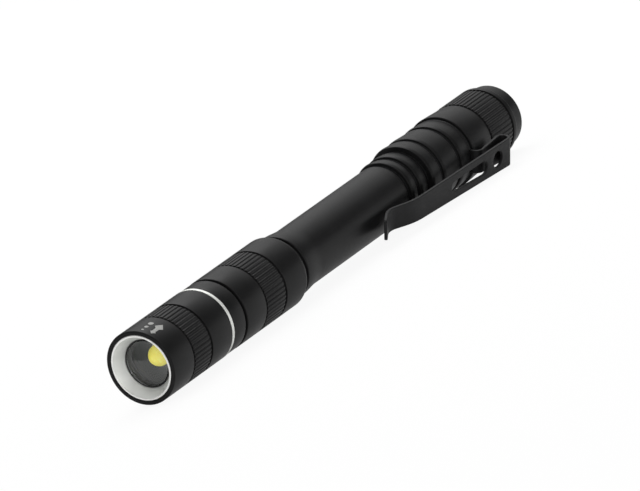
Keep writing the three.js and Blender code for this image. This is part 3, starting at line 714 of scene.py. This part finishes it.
def blank_loops(path):
    """Outline, hole and slot of the flat blank; first coordinate along the strip, second across it."""
    starts = path_starts(path)
    leg, bend, plate, end = starts[2], starts[3], starts[4], starts[-1]
    half = CLIP_WIDTH / 2
    tab = CLIP_TAB_WIDTH / 2
    tip = CLIP_TIP_WIDTH / 2
    edge = ((0, tab), (leg, tab), (bend, half), (plate, half), (end, tip))
    side = [Vector(at) for at in edge]
    other = [Vector((at.x, -at.y)) for at in side]
    reach = [0, 0, 0, 0, CLIP_TIP_ROUND]
    outline = rounded_loop(other + side[::-1], reach + reach[::-1])
    hole = arc(plate + HOLE_SETBACK, HOLE_RADIUS, 0, 2 * math.pi, steps=40)[:-1]
    rear = plate + SLOT_SETBACK + SLOT_REAR
    front = plate + SLOT_SETBACK + SLOT_LENGTH - SLOT_FRONT
    slot = arc(rear, SLOT_REAR, math.pi / 2, math.pi * 1.5, steps=18)
    slot += arc(front, SLOT_FRONT, -math.pi / 2, math.pi / 2, steps=14)
    return [outline, hole, slot]


def flat_blank(loops):
    """Flat sheet with rounded edges, made as a filled curve and turned into a mesh."""
    curve = bpy.data.curves.new("blank", "CURVE")
    curve.dimensions = "2D"
    curve.fill_mode = "BOTH"
    curve.extrude = SHEET / 2 - CLIP_EDGE
    curve.bevel_depth = CLIP_EDGE
    curve.bevel_resolution = 2
    curve.offset = -CLIP_EDGE
    for loop in loops:
        spline = curve.splines.new("POLY")
        spline.points.add(len(loop) - 1)
        for point, at in zip(spline.points, loop):
            point.co = (at.x, at.y, 0, 1)
        spline.use_cyclic_u = True
    holder = add_object("blank", curve)
    bpy.context.view_layer.update()
    evaluated = holder.evaluated_get(bpy.context.evaluated_depsgraph_get())
    mesh = bpy.data.meshes.new_from_object(evaluated)
    bpy.data.objects.remove(holder)
    bpy.data.curves.remove(curve)
    return mesh


def clip_strip():
    path = clip_path()
    starts = path_starts(path)
    mesh = flat_blank(blank_loops(path))
    work = bmesh.new()
    work.from_mesh(mesh)
    bmesh.ops.remove_doubles(work, verts=work.verts, dist=1e-4)
    for cut in bend_cuts(path, starts):
        whole = list(work.verts) + list(work.edges) + list(work.faces)
        bmesh.ops.bisect_plane(work, geom=whole, dist=1e-5, plane_co=(cut, 0, 0), plane_no=(1, 0, 0))
    for vert in work.verts:
        distance, across, off = vert.co
        height, station, heading = along_path(path, distance)
        height += off * math.sin(heading)
        station -= off * math.cos(heading)
        vert.co = place(height, station, across)
    face_outward(work)
    work.to_mesh(mesh)
    work.free()
    mesh.name = "clip_strip"
    mesh.shade_smooth()
    mesh.set_sharp_from_angle(angle=CLIP_SHARP_ANGLE)
    piece = add_object("clip_strip", mesh)
    weighted = piece.modifiers.new("weighted", "WEIGHTED_NORMAL")
    weighted.keep_sharp = True
    return piece


def bend_cuts(path, starts):
    """Distances along the strip at which it is cut across, close together in the bends."""
    cuts = []
    for (length, turn), start in zip(path, starts):
        count = max(2, round(abs(turn) / BEND_STEP)) if turn else max(1, round(length / STRAIGHT_STEP))
        cuts += [start + length * step / count for step in range(count + 1)]
    return sorted({round(cut, 4) for cut in cuts})


# Marks on the head, laid on its round surface

def laid_mark(name, loop, angle):
    """Thin piece whose flat outline of (station, across) points is laid on the head at an angle."""
    work = bmesh.new()
    verts = [work.verts.new((at.x, at.y, 0)) for at in loop]
    face = work.faces.new(verts)
    bmesh.ops.triangulate(work, faces=[face])
    for step in range(1, MARK_STRIPS):
        whole = list(work.verts) + list(work.edges) + list(work.faces)
        across = -MARK_HALF_WIDTH + 2 * MARK_HALF_WIDTH * step / MARK_STRIPS
        bmesh.ops.bisect_plane(work, geom=whole, dist=1e-5, plane_co=(0, across, 0), plane_no=(0, 1, 0))
    top = bmesh.ops.extrude_face_region(work, geom=list(work.faces))
    raised = {item for item in top["geom"] if isinstance(item, bmesh.types.BMVert)}
    for vert in work.verts:
        radius = HEAD_RADIUS + (MARK_PROUD if vert in raised else -MARK_DEPTH)
        turn = math.radians(angle) + vert.co.y / HEAD_RADIUS
        vert.co = place(radius * math.cos(turn), vert.co.x, radius * math.sin(turn))
    face_outward(work)
    mesh = bpy.data.meshes.new(name)
    work.to_mesh(mesh)
    work.free()
    return add_object(name, mesh)


def arrow_loop():
    """Double arrow: a small head to the front, a large one to the rear."""
    other_side = tuple((station, -across) for station, across in reversed(ARROW_SIDE[1:-1]))
    return [Vector(at) for at in ARROW_SIDE + other_side]


def dot_loop(station, radius):
    angles = [2 * math.pi * step / DOT_SIDES for step in range(DOT_SIDES)]
    return [Vector((station + radius * math.cos(angle), radius * math.sin(angle))) for angle in angles]


# Materials

NOISE_RANGE = (0.3, 0.7)  # where most of a noise's values lie
WAVE_LENGTH = 2 * math.pi / 20  # of a wave texture at scale 1
EDGE_HIGHLIGHT_RANGE = (0.8, 0.97)  # cosine of an edge's turn: full painted highlight, no painted highlight


class Surface:
    """Node material built round one principled shader."""

    def __init__(self, name, color, roughness, metallic=0.0, **sockets):
        self.material = bpy.data.materials.new(name)
        self.material.use_nodes = True
        self.tree = self.material.node_tree
        self.shader = self.tree.nodes["Principled BSDF"]
        self.shader.inputs["Base Color"].default_value = (*color, 1)
        self.shader.inputs["Roughness"].default_value = roughness
        self.shader.inputs["Metallic"].default_value = metallic
        for socket, value in sockets.items():
            self.shader.inputs[socket.replace("_", " ")].default_value = value
        self.coordinates = self.node("ShaderNodeTexCoord").outputs["Object"]

    def node(self, kind, **values):
        made = self.tree.nodes.new(kind)
        for name, value in values.items():
            made.inputs[name.replace("_", " ")].default_value = value
        return made

    def link(self, source, target):
        self.tree.links.new(source, target)

    def noise(self, scale, detail=2.0, stretch=(1, 1, 1)):
        """Value noise; scale is in features per metre."""
        mapping = self.node("ShaderNodeMapping", Scale=stretch)
        self.link(self.coordinates, mapping.inputs["Vector"])
        made = self.node("ShaderNodeTexNoise", Scale=scale, Detail=detail)
        self.link(mapping.outputs["Vector"], made.inputs["Vector"])
        return made.outputs["Fac"]

    def rings(self, spacing):
        """Turning marks: fine waves along the light's axis."""
        made = self.node("ShaderNodeTexWave", Scale=WAVE_LENGTH / spacing, Distortion=0.6, Detail=1.0)
        self.link(self.coordinates, made.inputs["Vector"])
        return made.outputs["Fac"]

    def spread(self, value, low, high, start=NOISE_RANGE[0], end=NOISE_RANGE[1]):
        """Brings a value from one range to another."""
        made = self.node("ShaderNodeMapRange")
        made.inputs["From Min"].default_value = start
        made.inputs["From Max"].default_value = end
        made.inputs["To Min"].default_value = low
        made.inputs["To Max"].default_value = high
        self.link(value, made.inputs["Value"])
        return made.outputs["Result"]

    def tint(self, value, dark, light):
        """Base colour between two colours, by a value."""
        ramp = self.node("ShaderNodeValToRGB")
        ramp.color_ramp.elements[0].position = NOISE_RANGE[0]
        ramp.color_ramp.elements[0].color = (*dark, 1)
        ramp.color_ramp.elements[1].position = NOISE_RANGE[1]
        ramp.color_ramp.elements[1].color = (*light, 1)
        self.link(value, ramp.inputs["Fac"])
        self.link(ramp.outputs["Color"], self.shader.inputs["Base Color"])

    def painted_edge_highlight(self, color, most, reach):
        """Painted highlight on edges: the colour lightens where the surface turns sharply within the reach,
        standing in for glints of light.
        """
        turn = self.node("ShaderNodeVectorMath")
        turn.operation = "DOT_PRODUCT"
        self.link(self.node("ShaderNodeBevel", Radius=reach).outputs["Normal"], turn.inputs[0])
        self.link(self.node("ShaderNodeNewGeometry").outputs["Normal"], turn.inputs[1])
        mix = self.node("ShaderNodeMix")
        mix.data_type = "RGBA"
        # The node lists sockets for every kind of data; these are its factor and its two colours
        factor, below, above = mix.inputs[0], mix.inputs[6], mix.inputs[7]
        self.link(self.spread(turn.outputs["Value"], most, 0, *EDGE_HIGHLIGHT_RANGE), factor)
        self.link(self.shader.inputs["Base Color"].links[0].from_socket, below)
        above.default_value = (*color, 1)
        self.link(mix.outputs[2], self.shader.inputs["Base Color"])

    def rough(self, value, low, high):
        self.link(self.spread(value, low, high), self.shader.inputs["Roughness"])

    def bump(self, value, depth, strength):
        made = self.node("ShaderNodeBump", Strength=strength, Distance=depth)
        self.link(value, made.inputs["Height"])
        self.link(made.outputs["Normal"], self.shader.inputs["Normal"])


def anodised_black():
    """Black anodised aluminium, bead-blasted: fine grain in gloss and height, slow clouds in colour."""
    surface = Surface("anodised_black", (0.0075, 0.0075, 0.0077), 0.38, Specular_IOR_Level=0.13)
    surface.tint(surface.noise(160, 3), (0.0064, 0.0064, 0.0066), (0.0086, 0.0086, 0.0088))
    # painted highlight: edges lighter in colour, standing in for glints of light
    surface.painted_edge_highlight((0.04, 0.04, 0.041), 0.6, 0.0001)
    surface.rough(surface.noise(6000, 2), 0.34, 0.44)
    surface.bump(surface.noise(5000, 3), 0.000012, 0.5)
    return surface.material


def bare_aluminium():
    """Bare turned aluminium with fine circular tool marks."""
    surface = Surface("bare_aluminium", (0.76, 0.77, 0.74), 0.5, 0.5)
    surface.tint(surface.noise(300, 3), (0.73, 0.74, 0.71), (0.79, 0.8, 0.77))
    surface.rough(surface.noise(2500, 2, (6, 1, 1)), 0.44, 0.56)
    surface.bump(surface.rings(0.00016), 0.000006, 0.6)
    return surface.material


def black_steel():
    """Black coated spring steel, satin, with a faint rolled grain along the strip."""
    surface = Surface("black_steel", (0.009, 0.009, 0.0095), 0.45, Specular_IOR_Level=0.15)
    surface.tint(surface.noise(220, 3), (0.007, 0.007, 0.0075), (0.011, 0.011, 0.0115))
    # painted highlight: edges lighter in colour, standing in for glints of light
    surface.painted_edge_highlight((0.12, 0.12, 0.118), 0.6, 0.00015)
    surface.rough(surface.noise(3500, 3, (0.25, 1, 1)), 0.4, 0.52)
    surface.bump(surface.noise(3000, 2), 0.00001, 0.4)
    return surface.material


def spring_steel():
    surface = Surface("spring_steel", (0.62, 0.63, 0.64), 0.28, 1.0)
    surface.tint(surface.noise(900, 2), (0.55, 0.56, 0.57), (0.68, 0.69, 0.7))
    surface.rough(surface.noise(4000, 2), 0.2, 0.36)
    return surface.material


def brass():
    surface = Surface("brass", (0.66, 0.47, 0.18), 0.32, 1.0)
    surface.tint(surface.noise(500, 3), (0.58, 0.4, 0.14), (0.7, 0.51, 0.21))
    surface.rough(surface.noise(2500, 2), 0.25, 0.4)
    return surface.material


def black_rubber():
    """Moulded rubber: matte, with a fine spark-eroded grain."""
    surface = Surface("black_rubber", (0.012, 0.012, 0.012), 0.75, Specular_IOR_Level=0.35)
    surface.tint(surface.noise(400, 3), (0.009, 0.009, 0.009), (0.016, 0.016, 0.016))
    surface.rough(surface.noise(5000, 2), 0.65, 0.85)
    surface.bump(surface.noise(3500, 3), 0.00003, 0.6)
    return surface.material


def black_plastic():
    surface = Surface("black_plastic", (0.02, 0.02, 0.021), 0.5)
    surface.tint(surface.noise(300, 2), (0.016, 0.016, 0.017), (0.025, 0.025, 0.026))
    surface.rough(surface.noise(3000, 2), 0.42, 0.6)
    surface.bump(surface.noise(2500, 2), 0.00001, 0.4)
    return surface.material


def white_ceramic():
    surface = Surface("white_ceramic", (0.82, 0.8, 0.75), 0.45)
    surface.tint(surface.noise(1500, 2), (0.78, 0.76, 0.7), (0.86, 0.84, 0.79))
    surface.rough(surface.noise(3000, 2), 0.38, 0.55)
    return surface.material


def board_laminate():
    """Circuit board under a black solder mask."""
    surface = Surface("board_laminate", (0.016, 0.018, 0.014), 0.4)
    surface.tint(surface.noise(900, 3), (0.012, 0.014, 0.011), (0.02, 0.023, 0.018))
    surface.rough(surface.noise(2500, 2), 0.32, 0.5)
    return surface.material


def yellow_phosphor():
    """Yellow phosphor under clear silicone, with a painted glow: it gives off a little light of its own, though
    the LED is not lit.
    """
    # painted glow: the phosphor emits light although the LED is off
    glow = (0.85, 0.75, 0.1, 1)
    surface = Surface("yellow_phosphor", (0.82, 0.7, 0.06), 0.25, Emission_Color=glow, Emission_Strength=0.42)
    surface.tint(surface.noise(2500, 2), (0.8, 0.66, 0.05), (0.86, 0.76, 0.1))
    surface.rough(surface.noise(3000, 2), 0.2, 0.34)
    return surface.material


def cell_wrap():
    surface = Surface("cell_wrap", (0.07, 0.15, 0.26), 0.3, Coat_Weight=0.3)
    surface.tint(surface.noise(200, 2), (0.06, 0.13, 0.23), (0.08, 0.17, 0.29))
    surface.rough(surface.noise(2000, 2), 0.24, 0.38)
    return surface.material


def clear_lens():
    """Clear moulded lens, polished, with a trace of flow in its surface."""
    surface = Surface("clear_lens", (0.95, 0.97, 0.96), 0.02, Transmission_Weight=1.0, IOR=1.45)
    surface.rough(surface.noise(1200, 2), 0.01, 0.035)
    surface.bump(surface.noise(250, 1), 0.000008, 0.2)
    return surface.material


def polished_lip_with_painted_highlight():
    """The bezel's lip, cut bright: the same metal, smoother, and with a painted highlight in a colour lighter than
    the cone's.
    """
    # painted highlight: a lighter colour than the cone's for the same metal
    surface = Surface("polished_lip_with_painted_highlight", (0.9, 0.9, 0.88), 0.35, 0.6)
    surface.tint(surface.noise(600, 2), (0.87, 0.87, 0.85), (0.93, 0.93, 0.91))
    surface.rough(surface.noise(3000, 2), 0.28, 0.42)
    return surface.material


def mark_grey():
    """Laser marking: bare metal showing through the anodised skin, dull and slightly uneven."""
    surface = Surface("mark_grey", (0.3, 0.3, 0.29), 0.6)
    surface.tint(surface.noise(3500, 2), (0.24, 0.24, 0.23), (0.36, 0.36, 0.345))
    surface.rough(surface.noise(5000, 2), 0.5, 0.72)
    return surface.material


SLOT_MATERIALS = (
    anodised_black, bare_aluminium, black_steel, spring_steel, brass, black_rubber,
    black_plastic, white_ceramic, board_laminate, yellow_phosphor, cell_wrap, clear_lens,
)
MATERIALS = {make.__name__: make() for make in SLOT_MATERIALS}


def dress_nodes():
    """Every node that stays in view gets the material of its slot."""
    for subpart in frame["record"]["subparts"]:
        mesh = frame["nodes"][subpart["node"]].data
        mesh.materials.clear()
        mesh.materials.append(MATERIALS[subpart["material_slot"]])


def dress_pieces():
    """Makes the pieces that stand for CAD nodes, and the marks."""
    for make, body, slot, node in (
        (head_sleeve, "head", "anodised_black", "head_sleeve"),
        (bezel, "head", "bare_aluminium", "bezel_ring"),
        (lens_seal, "head", "black_rubber", "lens_seal"),
        (lens, "head", "clear_lens", "lens"),
        (led_dome, "barrel", "yellow_phosphor", "led_dome"),
        (bright_ring, "head", "bare_aluminium", "bright_ring"),
        (head_collar, "head", "anodised_black", "head_collar"),
        (front_body, "barrel", "anodised_black", "front_body"),
        (battery_tube, "barrel", "anodised_black", "battery_tube"),
        (tail_cap, "cap", "anodised_black", "tail_cap"),
        (tail_button, "button", "black_rubber", "tail_button"),
        (clip_washer, "barrel", "black_steel", "clip_base"),
    ):
        dress(make(), body, slot, MATERIALS[slot], node)
    dress(bezel_lip(), "head", "bare_aluminium", polished_lip_with_painted_highlight(), "bezel_ring")
    grey = mark_grey()
    dress(laid_mark("mark_arrow", arrow_loop(), ARROW_ANGLE), "head", "bare_aluminium", grey)
    for number, (station, radius) in enumerate(DOTS, 1):
        dot = laid_mark(f"mark_dot_{number}", dot_loop(station, radius), DOT_ANGLE)
        dress(dot, "head", "bare_aluminium", grey)


def dress_clip():
    """The strip is one piece, bent to shape, that runs from the barrel to the clip's arm."""
    strip = clip_strip()
    strip.data.materials.append(MATERIALS["black_steel"])
    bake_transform(strip)
    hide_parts("clip_arm", "clip_base")


def dress_coil():
    """The switch spring, in the cap, with a mesh of its own."""
    coil = dress(switch_coil(), "cap", "spring_steel", MATERIALS["spring_steel"], "switch_spring")
    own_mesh(coil)


# Stage

FLOOR_SIZE = 6.0
FLOOR_COLOR = (0.88, 0.88, 0.88)
FLOOR_ROUGHNESS = 0.9
FLOOR_GLOW = 0.92
FLOOR_GLOSS = 0.52
HORIZON_LIGHT = 0.16
ZENITH_LIGHT = 0.75
HORIZON_RISE = (0.25, 0.85)
LAMPS = (  # name, place and size in metres, power in watts
    ("key", (0.75, 0.15, 0.65), 1.0, 2.0),
    ("fill", (-0.75, -0.95, 0.2), 0.5, 4.0),
    ("top", (0.35, 0.2, 1.0), 0.9, 7.0),
)


def seen_directly(tree):
    """1 for rays that show the backdrop itself: from the camera and through glass."""
    path = tree.nodes.new("ShaderNodeLightPath")
    return highest(tree, path.outputs["Is Camera Ray"], path.outputs["Is Transmission Ray"])


def floor_share(tree):
    """How much of the floor's own glow a ray meets: most when seen directly, less in gloss."""
    path = tree.nodes.new("ShaderNodeLightPath")
    direct = scaled(tree, seen_directly(tree), FLOOR_GLOW)
    return highest(tree, direct, scaled(tree, path.outputs["Is Glossy Ray"], FLOOR_GLOSS))


def scaled(tree, value, share):
    node = tree.nodes.new("ShaderNodeMath")
    node.operation = "MULTIPLY"
    tree.links.new(value, node.inputs[0])
    node.inputs[1].default_value = share
    return node.outputs["Value"]


def highest(tree, first, second):
    node = tree.nodes.new("ShaderNodeMath")
    node.operation = "MAXIMUM"
    tree.links.new(first, node.inputs[0])
    tree.links.new(second, node.inputs[1])
    return node.outputs["Value"]


def make_floor():
    mesh = bpy.data.meshes.new("floor")
    half = FLOOR_SIZE / 2
    corners = [(-half, -half, 0), (half, -half, 0), (half, half, 0), (-half, half, 0)]
    mesh.from_pydata(corners, [], [(0, 1, 2, 3)])
    floor = add_object("floor", mesh)
    material = bpy.data.materials.new("floor")
    material.use_nodes = True
    tree = material.node_tree
    shader = tree.nodes["Principled BSDF"]
    shader.inputs["Base Color"].default_value = (*FLOOR_COLOR, 1)
    shader.inputs["Roughness"].default_value = FLOOR_ROUGHNESS
    glow = tree.nodes.new("ShaderNodeEmission")
    mix = tree.nodes.new("ShaderNodeMixShader")
    tree.links.new(floor_share(tree), mix.inputs["Fac"])
    tree.links.new(shader.outputs["BSDF"], mix.inputs[1])
    tree.links.new(glow.outputs["Emission"], mix.inputs[2])
    tree.links.new(mix.outputs["Shader"], tree.nodes["Material Output"].inputs["Surface"])
    mesh.materials.append(material)


def make_world():
    world = bpy.data.worlds.new("studio")
    world.use_nodes = True
    tree = world.node_tree
    direction = tree.nodes.new("ShaderNodeTexCoord")
    parts = tree.nodes.new("ShaderNodeSeparateXYZ")
    tree.links.new(direction.outputs["Generated"], parts.inputs["Vector"])
    dome = tree.nodes.new("ShaderNodeMapRange")
    dome.interpolation_type = "SMOOTHSTEP"
    dome.inputs["From Min"].default_value = HORIZON_RISE[0]
    dome.inputs["From Max"].default_value = HORIZON_RISE[1]
    dome.inputs["To Min"].default_value = HORIZON_LIGHT
    dome.inputs["To Max"].default_value = ZENITH_LIGHT
    tree.links.new(parts.outputs["Z"], dome.inputs["Value"])
    background = tree.nodes["Background"]
    background.inputs["Color"].default_value = (1, 1, 1, 1)
    strength = highest(tree, dome.outputs["Result"], seen_directly(tree))
    tree.links.new(strength, background.inputs["Strength"])
    bpy.context.scene.world = world


def make_lamp(name, at, size, power):
    light = bpy.data.lights.new(name, "AREA")
    light.shape = "SQUARE"
    light.size = size
    light.energy = power
    lamp = bpy.data.objects.new(name, light)
    bpy.context.scene.collection.objects.link(lamp)
    lamp.location = at
    lamp.rotation_euler = (-Vector(at)).to_track_quat("-Z", "Y").to_euler()


def make_camera():
    azimuth = math.radians(CAMERA_AZIMUTH)
    elevation = math.radians(CAMERA_ELEVATION)
    back = Vector((
        math.cos(elevation) * math.cos(azimuth),
        math.cos(elevation) * math.sin(azimuth),
        math.sin(elevation),
    ))
    level = Vector((0, 0, 1)).cross(back).normalized()
    upright = back.cross(level)
    roll = math.radians(CAMERA_ROLL)
    right = level * math.cos(roll) + upright * math.sin(roll)
    up = back.cross(right)
    data = bpy.data.cameras.new("camera")
    data.lens = CAMERA_LENS
    data.sensor_width = CAMERA_SENSOR
    data.clip_start, data.clip_end = CAMERA_CLIP
    camera = bpy.data.objects.new("camera", data)
    bpy.context.scene.collection.objects.link(camera)
    turn = Matrix((right, up, back)).transposed().to_4x4()
    camera.matrix_world = Matrix.Translation(CAMERA_TARGET + back * CAMERA_DISTANCE) @ turn
    bpy.context.scene.camera = camera


make_camera()
make_floor()
make_world()
for name, at, size, power in LAMPS:
    make_lamp(name, at, size, power)
dress_nodes()
dress_pieces()
dress_clip()
dress_coil()

bpy.context.scene.view_settings.view_transform = "Standard"
